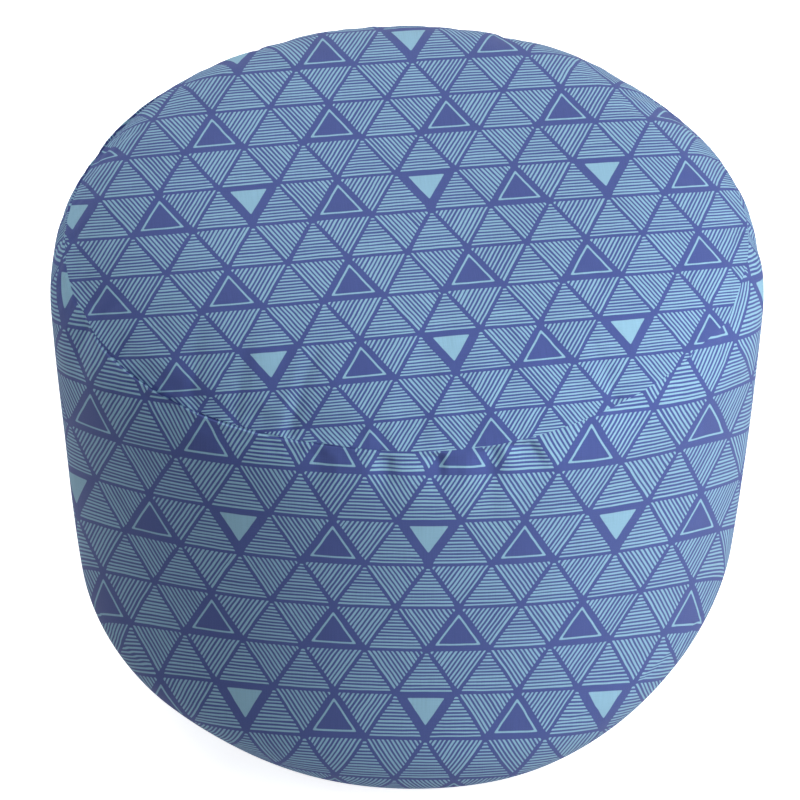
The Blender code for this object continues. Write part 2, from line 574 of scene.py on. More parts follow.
@dataclass(frozen=True)
class TrianglePrint:
    """The print's chart: rows of triangles that point up and down, most of them hatched.

    Places are in triangle sides across and rows down. Insets, lines and gaps are shares
    of a triangle's height. Every fourth row has every second of its upright triangles
    outlined, and two rows on is a row with one outlined and one solid triangle in three.
    """

    repeat_rows: int = 4
    paired_row: int = 0
    mixed_row: int = 2
    mixed_repeat: int = 3

    lines: int = 12
    first_line: float = 0.1256
    line_pitch: float = 0.0760
    line_half: float = 0.0183
    line_waver: float = 0.007
    line_tilt: float = 0.016
    line_swell: float = 0.007
    tilt_seed: float = 50.0
    swell_seed: float = 90.0
    first_gap: float = 0.018
    gap_growth: float = 0.014
    widest_gap: float = 0.034
    level_gap: float = 0.016
    last_gap: float = 0.014
    head_gap: float = 0.054
    round_ends: float = 9.0

    outline_outer: float = 0.088
    outline_inner: float = 0.126
    solid_inset: float = 0.128
    round_corners: float = 0.05
    ink_edge: float = 0.0055

    hand_scale: float = 3.0
    hand_waver: float = 0.010
    hand_apart: tuple[float, float] = (37.0, 11.0)

    def ink(self, recipe: ClothRecipe) -> Term:
        """Return the share of light ink at each point.

        Args:
            recipe: The cloth's node tree.

        Returns:
            1 on light ink and 0 on the dark ground.
        """
        across, down = self.wavering(recipe)
        row = down.math("FLOOR")
        fall = down - row
        odd = row.modulo(2.0)
        phase = row.modulo(float(self.repeat_rows))
        mixed = phase.equals(self.mixed_row)
        paired = phase.equals(self.paired_row)

        shifted = across - odd * 0.5
        up_column = (shifted + 0.5).math("FLOOR")
        up_offset = shifted - up_column
        down_column = shifted.math("FLOOR")
        down_offset = shifted - down_column - 0.5
        points_up = up_offset.math("ABSOLUTE").math("LESS_THAN", fall * 0.5)
        points_down = points_up.less_from(1.0)

        from_left = points_up * (fall * 0.5 + up_offset) + points_down * (
            fall.less_from(1.0) * 0.5 + down_offset
        )
        from_right = points_up * (fall * 0.5 - up_offset) + points_down * (
            fall.less_from(1.0) * 0.5 - down_offset
        )
        from_level = points_up * fall.less_from(1.0) + points_down * fall

        outlined = points_up * (
            paired * up_column.modulo(2.0).equals(0.0)
            + mixed * up_column.modulo(float(self.mixed_repeat)).equals(0.0)
        )
        place_in_three = down_column.modulo(float(self.mixed_repeat))
        solid = points_down * mixed * place_in_three.equals(1.0)
        alternate = (down_column + odd).modulo(2.0).equals(0.0)
        forward = points_down * (
            mixed * place_in_three.equals(0.0) + mixed.less_from(1.0) * alternate
        )
        back = points_down * solid.less_from(1.0) * forward.less_from(1.0)

        column = points_up * up_column + points_down * (down_column + 0.5)
        hatch = self.hatching(
            recipe,
            (column, row),
            (from_left, from_right, from_level),
            (back, forward, points_up),
        )
        inset = from_left.math("SMOOTH_MIN", from_right, self.round_corners)
        inset = inset.math("SMOOTH_MIN", from_level, self.round_corners)
        ring = inset.rises_past(self.outline_outer, self.ink_edge) - inset.rises_past(
            self.outline_inner, self.ink_edge
        )
        filled = inset.rises_past(self.solid_inset, self.ink_edge)
        plain = outlined.less_from(1.0) * solid.less_from(1.0)
        return hatch * plain + ring * outlined + filled * solid

    def wavering(self, recipe: ClothRecipe) -> tuple[Term, Term]:
        """Return the print's coordinates with the waver of a hand-cut block.

        Args:
            recipe: The cloth's node tree.

        Returns:
            The triangle sides across and the rows down.
        """
        across, down = recipe.print_place()
        aside, below = self.hand_apart
        here = recipe.mottle(recipe.vector(across, down), self.hand_scale, 1.0)
        there = recipe.mottle(recipe.vector(across + aside, down + below), self.hand_scale, 1.0)
        twice = 2.0 * self.hand_waver
        return across + (here - 0.5) * twice, down + (there - 0.5) * twice

    def hatching(
        self,
        recipe: ClothRecipe,
        cell: tuple[Term, Term],
        insets: tuple[Term, Term, Term],
        leans: tuple[Term, Term, Term],
    ) -> Term:
        """Return the hatch lines of every triangle.

        Args:
            recipe: The cloth's node tree.
            cell: The column and row of the triangle, the same all over it.
            insets: The distances from the left, right and level sides.
            leans: 1 where the lines run along the left, right or level side, and else 0.

        Returns:
            1 on a line and 0 between lines.
        """
        from_left, from_right, from_level = insets
        along_left, along_right, along_level = leans
        depth = (
            from_left * along_left + from_right * along_right + from_level * along_level
        ).less_from(1.0)
        step = (depth - self.first_line) * (1.0 / self.line_pitch)
        line = step.math("ROUND").math("MAXIMUM", 0.0).math("MINIMUM", self.lines - 1.0)

        gap = (line * self.gap_growth + self.first_gap).math("MINIMUM", self.widest_gap)
        gap = gap + line.equals(self.lines - 1.0) * self.last_gap
        gap = gap + along_level * self.level_gap
        to_left = from_left - gap + along_left
        to_right = from_right - gap + along_right
        to_level = from_level - self.head_gap + along_level
        to_end = to_left.math("MINIMUM", to_right).math("MINIMUM", to_level)

        place_luck = recipe.chance(recipe.vector(*cell, line))
        tilt_luck = recipe.chance(recipe.vector(*cell, line + self.tilt_seed))
        swell_luck = recipe.chance(recipe.vector(*cell, line + self.swell_seed))
        middle = line * self.line_pitch + self.first_line + (place_luck - 0.5) * self.line_waver
        sway = (tilt_luck - 0.5) * (from_left - from_right) * self.line_tilt
        off_line = (depth - middle + sway).math("ABSOLUTE")
        half = (swell_luck - 0.5) * self.line_swell + self.line_half
        rounded = to_end - off_line * off_line * self.round_ends
        on_line = (half - off_line).rises_past(0.0, self.ink_edge)
        return on_line * rounded.rises_past(0.0, self.ink_edge)


@dataclass(frozen=True)
class CottonFinish:
    """Matt plain-woven cotton. The weave is counted in threads to a triangle's side."""

    name: str
    ground: tuple[float, float, float]
    light: tuple[float, float, float]
    chart: TrianglePrint | None
    threads: float = 96.0
    slubs: float = 2.0
    weave_depth: float = 0.00015
    weave_strength: float = 0.45
    roughness: float = 0.90
    gloss: float = 0.15
    sheen: float = 0.08
    sheen_roughness: float = 0.45
    fade: float = 0.10
    fade_scale: float = 0.9
    fade_detail: float = 3.0
    slub: float = 0.16

    def dress(self, piece: bpy.types.Object) -> None:
        """Give a piece this cloth.

        Args:
            piece: The object to dress.
        """
        recipe = ClothRecipe(self.name)
        across, down = recipe.print_place()
        colour = self.colour(recipe, across, down)
        recipe.link(colour, recipe.shader.inputs["Base Color"])
        self.weave(recipe, across, down)
        recipe.shader.inputs["Roughness"].default_value = self.roughness
        recipe.shader.inputs["Specular IOR Level"].default_value = self.gloss
        recipe.shader.inputs["Sheen Weight"].default_value = self.sheen
        recipe.shader.inputs["Sheen Roughness"].default_value = self.sheen_roughness
        piece.data.materials.clear()
        piece.data.materials.append(recipe.material)

    def colour(self, recipe: ClothRecipe, across: Term, down: Term) -> bpy.types.NodeSocket:
        """Return the cloth's colour: ground and ink, mottled by the dye and the threads.

        Args:
            recipe: The cloth's node tree.
            across: The print's sides across.
            down: The print's rows down.

        Returns:
            The colour.
        """
        along_warp = recipe.vector(across * self.threads, down * self.slubs)
        along_weft = recipe.vector(across * self.slubs, down * self.threads)
        clouds = recipe.mottle(recipe.vector(across, down), self.fade_scale, self.fade_detail)
        cloudy = (clouds - 0.5) * self.fade
        warp = (recipe.mottle(along_warp, 1.0, 0.0) - 0.5) * self.slub
        weft = (recipe.mottle(along_weft, 1.0, 0.0) - 0.5) * self.slub
        toned = recipe.tree.nodes.new("ShaderNodeVectorMath")
        toned.operation = "SCALE"
        if self.chart is None:
            toned.inputs[0].default_value = self.ground
        else:
            dyed = recipe.blend(self.chart.ink(recipe), self.ground, self.light)
            recipe.link(dyed, toned.inputs[0])
        recipe.link(((cloudy + warp + weft) + 1.0).socket, toned.inputs["Scale"])
        return toned.outputs["Vector"]

    def weave(self, recipe: ClothRecipe, across: Term, down: Term) -> None:
        """Raise the threads of a plain weave, half a wave each, in the cloth's bump.

        Args:
            recipe: The cloth's node tree.
            across: The print's sides across.
            down: The print's rows down.
        """
        waves = math.pi * self.threads
        over = (across * waves).math("SINE") * (down * waves).math("SINE")
        bump = recipe.tree.nodes.new("ShaderNodeBump")
        bump.inputs["Strength"].default_value = self.weave_strength
        bump.inputs["Distance"].default_value = self.weave_depth
        recipe.link(over.socket, bump.inputs["Height"])
        recipe.link(bump.outputs["Normal"], recipe.shader.inputs["Normal"])


@dataclass
class Filling:
    """The stuffing. A cloth simulation presses the sewn bag out against its seams.

    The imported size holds, so the swelling that is common to a wide patch is taken out
    again, and the cloth's own creases stay.
    """

    cell: float = 0.009
    pressure: float = 4.0
    spare_cloth: float = -0.03
    last_frame: int = 20
    seam_hold: float = 0.006
    floor_hold: float = 0.012
    weld: float = 0.0004
    wide_rounds: int = 50
    share: float = 0.35
    farthest: float = 0.0012
    neighbours: int = 4

    def __post_init__(self) -> None:
        """Start with a bag that nothing has pressed."""
        self.rises: np.ndarray | None = None
        self.places = KDTree(0)

    def press(self, seam: SeamLine) -> None:
        """Simulate the bag and keep how far each of its points rose.

        Args:
            seam: The top seam, which stays where it is.
        """
        bag = self.sew_bag()
        held = bag.vertex_groups.new(name="held")
        rest = read_places(bag.data)
        normals = np.array([tuple(corner.normal) for corner in bag.data.vertices])
        for corner in bag.data.vertices:
            if self.is_held(corner.co, seam):
                held.add([corner.index], 1.0, "REPLACE")
        cloth = bag.modifiers.new("cloth", "CLOTH")
        cloth.settings.use_pressure = True
        cloth.settings.uniform_pressure_force = self.pressure
        cloth.settings.shrink_min = self.spare_cloth
        cloth.settings.effector_weights.gravity = 0.0
        cloth.settings.vertex_group_mass = held.name
        cloth.collision_settings.use_collision = False
        cloth.point_cache.frame_end = self.last_frame
        for number in range(1, self.last_frame + 1):
            bpy.context.scene.frame_set(number)
        apply_modifiers(bag)
        rises = ((read_places(bag.data) - rest) * normals).sum(axis=1)
        rises -= self.wide_part(bag.data, rises)
        self.rises = self.farthest * np.tanh(rises * self.share / self.farthest)
        self.places = KDTree(len(rest))
        for index, spot in enumerate(rest):
            self.places.insert(spot, index)
        self.places.balance()
        bpy.data.objects.remove(bag, do_unlink=True)
        bpy.context.scene.frame_set(1)
        LOG.info("filling: %d points, creases of %.2f mm", len(rest), 1000.0 * self.rises.std())

    def sew_bag(self) -> bpy.types.Object:
        """Sew the three packed panels into one closed bag of even cells.

        Returns:
            The bag.
        """
        sewn = bmesh.new()
        for node in ("top_panel", "side_band", "base_panel"):
            sewn.from_mesh(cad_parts[node].data)
        bmesh.ops.remove_doubles(sewn, verts=sewn.verts[:], dist=SAME_POINT)
        floor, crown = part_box("base_panel")[0].z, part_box("top_panel")[1].z
        inner_poles = [
            corner
            for corner in sewn.verts
            if math.hypot(corner.co.x, corner.co.y) < SAME_POINT
            and floor + SAME_POINT < corner.co.z < crown - self.floor_hold
        ]
        bmesh.ops.delete(sewn, geom=inner_poles, context="VERTS")
        bmesh.ops.remove_doubles(sewn, verts=sewn.verts[:], dist=self.weld)
        mesh = bpy.data.meshes.new("bag")
        sewn.to_mesh(mesh)
        sewn.free()
        bag = bpy.data.objects.new("bag", mesh)
        bpy.context.scene.collection.objects.link(bag)
        cells = bag.modifiers.new("cells", "REMESH")
        cells.mode = "VOXEL"
        cells.voxel_size = self.cell
        apply_modifiers(bag)
        return bag

    def is_held(self, place: Vector, seam: SeamLine) -> bool:
        """Return whether a point of the bag lies at the top seam or on the floor.

        Args:
            place: The point.
            seam: The top seam.

        Returns:
            True where the bag is held still.
        """
        from_seam = math.hypot(
            math.hypot(place.x, place.y) - seam.radius,
            place.z - seam.height_at(bearing_of(place)),
        )
        return place.z < self.floor_hold or from_seam < self.seam_hold

    def wide_part(self, mesh: bpy.types.Mesh, rises: np.ndarray) -> np.ndarray:
        """Return the part of the rises that wide patches of the cloth have in common.

        Args:
            mesh: The bag's mesh.
            rises: How far each of its points rose.

        Returns:
            The common part at each point.
        """
        ends = np.empty(2 * len(mesh.edges), np.int32)
        mesh.edges.foreach_get("vertices", ends)
        first, second = ends[0::2], ends[1::2]
        count = np.bincount(ends, minlength=len(rises))
        wide = rises.copy()
        for _ in range(self.wide_rounds):
            total = np.bincount(first, wide[second], len(rises))
            total += np.bincount(second, wide[first], len(rises))
            wide = 0.5 * wide + 0.5 * total / count
        return wide

    def rise_at(self, place: Vector) -> float:
        """Return how far the cloth rises at a point, from the nearest points of the bag.

        Args:
            place: The point.

        Returns:
            The rise, 0 where no bag was pressed.
        """
        if self.rises is None:
            return 0.0
        total, weights = 0.0, 0.0
        for _, index, distance in self.places.find_n(place, self.neighbours):
            weight = 1.0 / (distance + SAME_POINT)
            total += weight * float(self.rises[index])
            weights += weight
        return total / weights


@dataclass
class Panel:
    """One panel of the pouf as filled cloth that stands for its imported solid."""

    node: str
    name: str
    slot: Slot
    finish: CottonFinish
    seam: SeamLine
    filling: Filling
    fill: float = 0.9
    smoothing: int = 2
    pole_radius: float = 0.001
    quad_angle: float = math.radians(80.0)
    rim_angle: float = math.radians(40.0)
    fine_reach: float = 0.026
    fine_cuts: int = 3

    def build(self) -> bpy.types.Object:
        """Make the panel's cover and fit it into the frame.

        Returns:
            The finished object.
        """
        piece = self.smooth_skin()
        self.refine(piece.data)
        self.move(piece.data, self.settled)
        self.move(piece.data, self.raised)
        self.lay_print(piece.data)
        self.finish.dress(piece)
        piece.data.shade_smooth()
        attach(piece, BODY)
        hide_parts(self.node)
        LOG.info("%s: %d faces for %s", self.name, len(piece.data.polygons), self.node)
        return piece

    def smooth_skin(self) -> bpy.types.Object:
        """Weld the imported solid's own skin and smooth it into fine quads.

        Returns:
            The cover, with the solid's size.
        """
        skin = bmesh.new()
        skin.from_mesh(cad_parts[self.node].data)
        bmesh.ops.remove_doubles(skin, verts=skin.verts[:], dist=SAME_POINT)
        off_pole = [
            face
            for face in skin.faces
            if all(math.hypot(corner.co.x, corner.co.y) > self.pole_radius for corner in face.verts)
        ]
        bmesh.ops.join_triangles(
            skin,
            faces=off_pole,
            angle_face_threshold=self.quad_angle,
            angle_shape_threshold=self.quad_angle,
        )
        crease = skin.edges.layers.float.new("crease_edge")
        for edge in skin.edges:
            if edge.calc_face_angle() > self.rim_angle:
                edge[crease] = 1.0
                edge.smooth = False
        mesh = bpy.data.meshes.new(self.name)
        skin.to_mesh(mesh)
        skin.free()
        mesh.materials.clear()
        piece = bpy.data.objects.new(self.name, mesh)
        bpy.context.scene.collection.objects.link(piece)
        smooth = piece.modifiers.new("smooth", "SUBSURF")
        smooth.levels = self.smoothing
        smooth.render_levels = self.smoothing
        apply_modifiers(piece)
        return piece

    def refine(self, mesh: bpy.types.Mesh) -> None:
        """Cut the cloth finer round the pouf where narrow creases lie.

        Args:
            mesh: The cover's mesh.
        """
        cloth = bmesh.new()
        cloth.from_mesh(mesh)
        across = [
            edge
            for edge in cloth.edges
            if all(self.is_fine(corner.co) for corner in edge.verts) and runs_round(edge)
        ]
        bmesh.ops.subdivide_edges(cloth, edges=across, cuts=self.fine_cuts, use_grid_fill=True)
        cloth.to_mesh(mesh)
        cloth.free()

    def is_fine(self, place: Vector) -> bool:
        """Return whether narrow creases may lie at a point of the cloth."""
        return False

    def move(self, mesh: bpy.types.Mesh, step: Callable[[Vector], Vector]) -> None:
        """Move each point of the outer cloth by its own step.

        Args:
            mesh: The cover's mesh.
            step: The function that gives a point's move.
        """
        outer = [corner for corner in mesh.vertices if self.is_outer(corner.co, corner.normal)]
        moves = [step(corner.co) for corner in outer]
        for corner, change in zip(outer, moves):
            corner.co += change
        mesh.update()

    def is_outer(self, place: Vector, normal: Vector) -> bool:
        """Return whether a point lies on the cloth that shows, not on a cut face."""
        return False

    def settled(self, place: Vector) -> Vector:
        """Return how a point moves to where the seam really runs."""
        return Vector()

    def raised(self, place: Vector) -> Vector:
        """Return how a point moves in the creases and ripples of the cloth."""
        return Vector()

    def lay_print(self, mesh: bpy.types.Mesh) -> None:
        """Write where the print falls on each corner of the cloth.

        Args:
            mesh: The cover's mesh.
        """
        layer = mesh.uv_layers.new(name=PRINT_MAP)
        for face in mesh.polygons:
            behind = face.center.y > 0.0
            side = 1.0 if face.center.x >= 0.0 else -1.0
            for corner in face.loop_indices:
                place = mesh.vertices[mesh.loops[corner].vertex_index].co
                bearing = bearing_of(place)
                if behind and bearing * side < 0.0:
                    bearing += side * 2.0 * math.pi
                layer.data[corner].uv = self.print_at(place, bearing)

    def print_at(self, place: Vector, bearing: float) -> tuple[float, float]:
        """Return the print's coordinates at a point of the cloth."""
        raise NotImplementedError


@dataclass
class SideBand(Panel):
    """The tall band round the side.

    Its print lies straight across the front as it is seen from a little above, so it is
    stretched and slants at the sides, and eases to an even scale and level rows behind.
    The print's fields say how its sides and rows run with the fall down the cloth and with
    the distance back from the front, in metres, and where round the band each easing
    starts and ends.
    """

    mean_radius: float = 0.3205
    seam_height: float = 0.466
    corner_height: float = 0.112
    front_half_width: float = math.radians(0.5)

    # How the print's sides run across the band and its rows down it
    first_side: float = 1.150
    sides_per_metre: float = 18.28
    sides_per_fall: float = 0.135
    sides_per_back: float = -0.32

    first_row: float = 0.7854
    rows_per_fall: float = 18.66
    row_growth: float = 8.09
    row_slack: float = -23.01
    longest_rows: float = 0.43
    rows_per_back: float = -10.85
    rows_per_back_fall: float = -9.04
    row_tilt: float = -0.112

    # How the print turns from the photographed front to the true scale behind
    straight_to: float = math.radians(72.0)
    closer_from: float = math.radians(40.0)
    closer: float = 0.10
    deepest: float = 0.042
    true_scale: tuple[float, float] = (math.radians(72.0), math.radians(89.0))
    level_rows: tuple[float, float] = (math.radians(74.0), math.radians(114.0))
    even_rows: tuple[float, float] = (math.radians(74.0), math.radians(140.0))
    rows_per_metre: float = 19.0
    even_row: float = -0.7
    right_lift: float = 0.10
    right_lift_fall: float = 0.075
    right_lift_reach: float = 0.055
    right_from: tuple[float, float] = (math.radians(22.0), math.radians(58.0))

    # The cloth's own shape
    outer_radius: float = 0.30
    upright_from: float = 0.050
    proud_reach: float = 0.042
    roll: float = 0.0014
    gathers: tuple[Gather, ...] = (
        Gather(-65.5, 1.6, 1.2, 0.0016, 0.030),
        Gather(-50.6, 0.9, 1.1, 0.0012, 0.016, start=0.012),
        Gather(-40.7, 1.8, 1.5, 0.0014, 0.018),
        Gather(-27.0, 1.2, 1.5, 0.0008, 0.018),
        Gather(-12.2, 1.2, 0.9, 0.0011, 0.020, start=0.008),
        Gather(-12.0, 1.4, 2.9, -0.0032, 0.040, rise=0.010, widening=1.0),
        Gather(-3.2, 1.6, 0.9, 0.0026, 0.028, start=0.003),
        Gather(4.8, 2.1, 0.8, 0.0044, 0.024),
        Gather(13.5, 2.4, 1.1, 0.0042, 0.030, slant=20.0),
        Gather(15.0, 1.6, 2.9, -0.0052, 0.058, rise=0.010, widening=1.0),
        Gather(19.2, 3.0, 0.8, 0.0048, 0.028, slant=70.0),
        Gather(30.0, 1.6, 1.2, 0.0008, 0.020),
        Gather(47.0, 1.4, 1.4, 0.0010, 0.022),
        Gather(63.0, 1.4, 1.0, 0.0014, 0.026),
        Gather(92.0, 1.8, 1.1, 0.0018, 0.034),
        Gather(108.0, 1.2, 1.4, 0.0011, 0.024),
        Gather(121.5, 1.0, 1.9, 0.0020, 0.036),
        Gather(143.0, 1.8, 1.0, 0.0022, 0.040),
        Gather(164.0, 1.3, 1.3, 0.0013, 0.026),
        Gather(-166.0, 1.0, 1.8, 0.0018, 0.034),
        Gather(-139.0, 1.6, 1.1, 0.0016, 0.030),
        Gather(-112.0, 1.1, 2.0, 0.0022, 0.042),
        Gather(-90.0, 1.3, 1.3, 0.0012, 0.024),
    )

    closing_bearing: float = 180.0
    closing_fine: float = 1.9
    closing_half_width: float = 0.25
    closing_depth: float = 0.0012

    def build(self) -> bpy.types.Object:
        """Read the corner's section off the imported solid, then make the cover."""
        self.corner_run, self.corner_radius = self.read_corner()
        return super().build()

    def is_fine(self, place: Vector) -> bool:
        """Return whether a point lies near the top seam or the closing seam.

        Args:
            place: The point.

        Returns:
            True where narrow creases may lie.
        """
        if place.z < self.corner_run[-1][0] or math.hypot(place.x, place.y) < self.outer_radius:
            return False
        aside = turn_between(math.degrees(bearing_of(place)), self.closing_bearing)
        return abs(aside) < self.closing_fine or self.seam.drop_of(place) < self.fine_reach

    def is_outer(self, place: Vector, normal: Vector) -> bool:
        """Return whether a point lies on the band's side."""
        return math.hypot(place.x, place.y) > self.outer_radius

    def tilt_at(self, drop: float) -> float:
        """Return how far the band's outward direction points up at a drop."""
        return self.seam.pull_tilt * (1.0 - ease(drop / self.upright_from))

    def settled(self, place: Vector) -> Vector:
        """Return how a point of the band moves to where the seam really runs."""
        drop = self.seam.drop_of(place)
        return self.seam.settle(bearing_of(place), drop, self.tilt_at(drop))

    def raised(self, place: Vector) -> Vector:
        """Return how a point of the band moves in its gathers, ripples and closing seam.

        Args:
            place: The point.

        Returns:
            The move.
        """
        bearing = bearing_of(place)
        degrees = math.degrees(bearing)
        drop = max(self.seam.height_at(bearing) - place.z, 0.0)
        edge = self.seam.sum_at(self.seam.proud, bearing) * (1.0 - ease(drop / self.proud_reach))
        rolled = ease(drop / self.roll)
        height = edge * rolled + self.seam.ripple(bearing, drop)
        height -= sum(gather.at(degrees, drop) for gather in self.gathers)
        aside = turn_between(degrees, self.closing_bearing)
        closing = bell(aside, self.closing_half_width) * ease(drop / self.seam.pull_reach)
        height -= self.closing_depth * closing
        height += self.filling.rise_at(place)
        tuck = self.seam.tuck(bearing, 1.0 - rolled)
        return outward(bearing, self.tilt_at(drop)) * height + tuck

    def read_corner(self) -> tuple[list[tuple[float, float]], float]:
        """Return the length of cloth down the bottom corner, and the radius at its top.

        Returns:
            Heights with the length of cloth above each, from the corner's top, and the
            radius there.
        """
        places = {}
        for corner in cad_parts[self.node].data.vertices:
            place = corner.co
            in_front = abs(bearing_of(place)) < self.front_half_width and place.y < -SAME_POINT
            if in_front and place.z < self.corner_height + SAME_POINT:
                places[round(place.z, 5)] = place.copy()
        run = [places[height] for height in sorted(places, reverse=True)]
        length = 0.0
        section = [(run[0].z, 0.0)]
        for above, below in zip(run, run[1:]):
            length += (below - above).length
            section.append((below.z, length))
        return section, -run[0].y

    def fall_to(self, height: float) -> float:
        """Return how far down the cloth a height lies below the top seam.

        Args:
            height: The height above the floor.

        Returns:
            The length of cloth from the seam.
        """
        top, bottom = self.corner_run[0], self.corner_run[-1]
        if height >= top[0]:
            return self.seam_height - height
        for (high, before), (low, after) in zip(self.corner_run, self.corner_run[1:]):
            if height >= low:
                step = (high - height) / (high - low)
                return self.seam_height - top[0] + before + (after - before) * step
        return self.seam_height - top[0] + bottom[1]

    def rows_down(self, fall: float) -> float:
        """Return how many rows of the print lie between the seam and a point at the front.

        Args:
            fall: How far down the cloth the point lies below the top seam.

        Returns:
            The rows.
        """
        bent = min(fall, self.longest_rows)
        rows = bent * (self.rows_per_fall + bent * (self.row_growth + bent * self.row_slack))
        slope = self.rows_per_fall + bent * (2.0 * self.row_growth + 3.0 * bent * self.row_slack)
        return rows + slope * (fall - bent)

    def spread(self, bearing: float) -> float:
        """Return how far round the print has run at a bearing, in radii.

        On the right the triangles draw closer together towards the edge of the view.

        Args:
            bearing: The bearing in radians.

        Returns:
            The run, below 0 on the left.
        """
        size = min(abs(bearing), self.straight_to)
        closer = self.closer if bearing > 0.0 else 0.0
        past = max(size - self.closer_from, 0.0)
        slope = math.cos(size) + 2.0 * closer * past
        run = math.sin(size) + closer * past * past + slope * (abs(bearing) - size)
        run += (1.0 - slope) * eased_run(abs(bearing), *self.true_scale)
        return math.copysign(run, bearing)

    def dip(self, bearing: float) -> float:
        """Return how far the rows have dipped at a bearing, in radii.

        Args:
            bearing: The bearing in radians.

        Returns:
            The dip.
        """
        size = abs(bearing)
        if size <= self.straight_to:
            return 1.0 - math.cos(bearing)
        slope = math.sin(self.straight_to)
        level = size - self.straight_to - eased_run(size, *self.level_rows)
        return 1.0 - math.cos(self.straight_to) + slope * level

    def print_at(self, place: Vector, bearing: float) -> tuple[float, float]:
        """Return the print's coordinates at a point of the band.

        Args:
            place: The point.
            bearing: The point's bearing in radians.

        Returns:
            The triangle sides across and the rows down.
        """
        radius = math.hypot(place.x, place.y)
        in_view = 1.0 - ease((abs(bearing) - self.straight_to) / self.straight_to)
        shown_radius = self.corner_radius if place.z < self.corner_height else radius
        back = self.mean_radius * self.dip(bearing)
        back += (self.mean_radius - shown_radius) * math.cos(bearing) * in_view
        drawn_in = min(self.mean_radius - radius, self.deepest * max(math.cos(bearing), 0.0))
        across = self.mean_radius * self.spread(bearing)
        across -= drawn_in * math.sin(bearing) * in_view
        fall = self.fall_to(place.z)
        sides = self.first_side + self.sides_per_metre * across
        sides += self.sides_per_fall * fall + self.sides_per_back * back
        rows = self.row_at(bearing, fall, back)
        return sides, rows + self.lift_at(bearing, fall) * in_view

    def row_at(self, bearing: float, fall: float, back: float) -> float:
        """Return how many rows of the print lie above a point.

        Args:
            bearing: The point's bearing in radians.
            fall: How far down the cloth it lies below the top seam.
            back: How far back from the front the print has run.

        Returns:
            The rows.
        """
        start, end = self.even_rows
        seen = self.rows_down(fall) + self.rows_per_back_fall * fall * back
        even = self.even_row + self.rows_per_metre * fall
        rows = seen + (even - seen) * ease((abs(bearing) - start) / (end - start))
        return rows + self.first_row + self.row_tilt * math.sin(bearing) + self.rows_per_back * back

    def lift_at(self, bearing: float, fall: float) -> float:
        """Return how many rows the print rides up on the right, just below the seam.

        Args:
            bearing: The point's bearing in radians.
            fall: How far down the cloth the point lies below the top seam.

        Returns:
            The rows.
        """
        start, end = self.right_from
        lift = self.right_lift * ease((bearing - start) / (end - start))
        return lift * bell(fall - self.right_lift_fall, self.right_lift_reach)


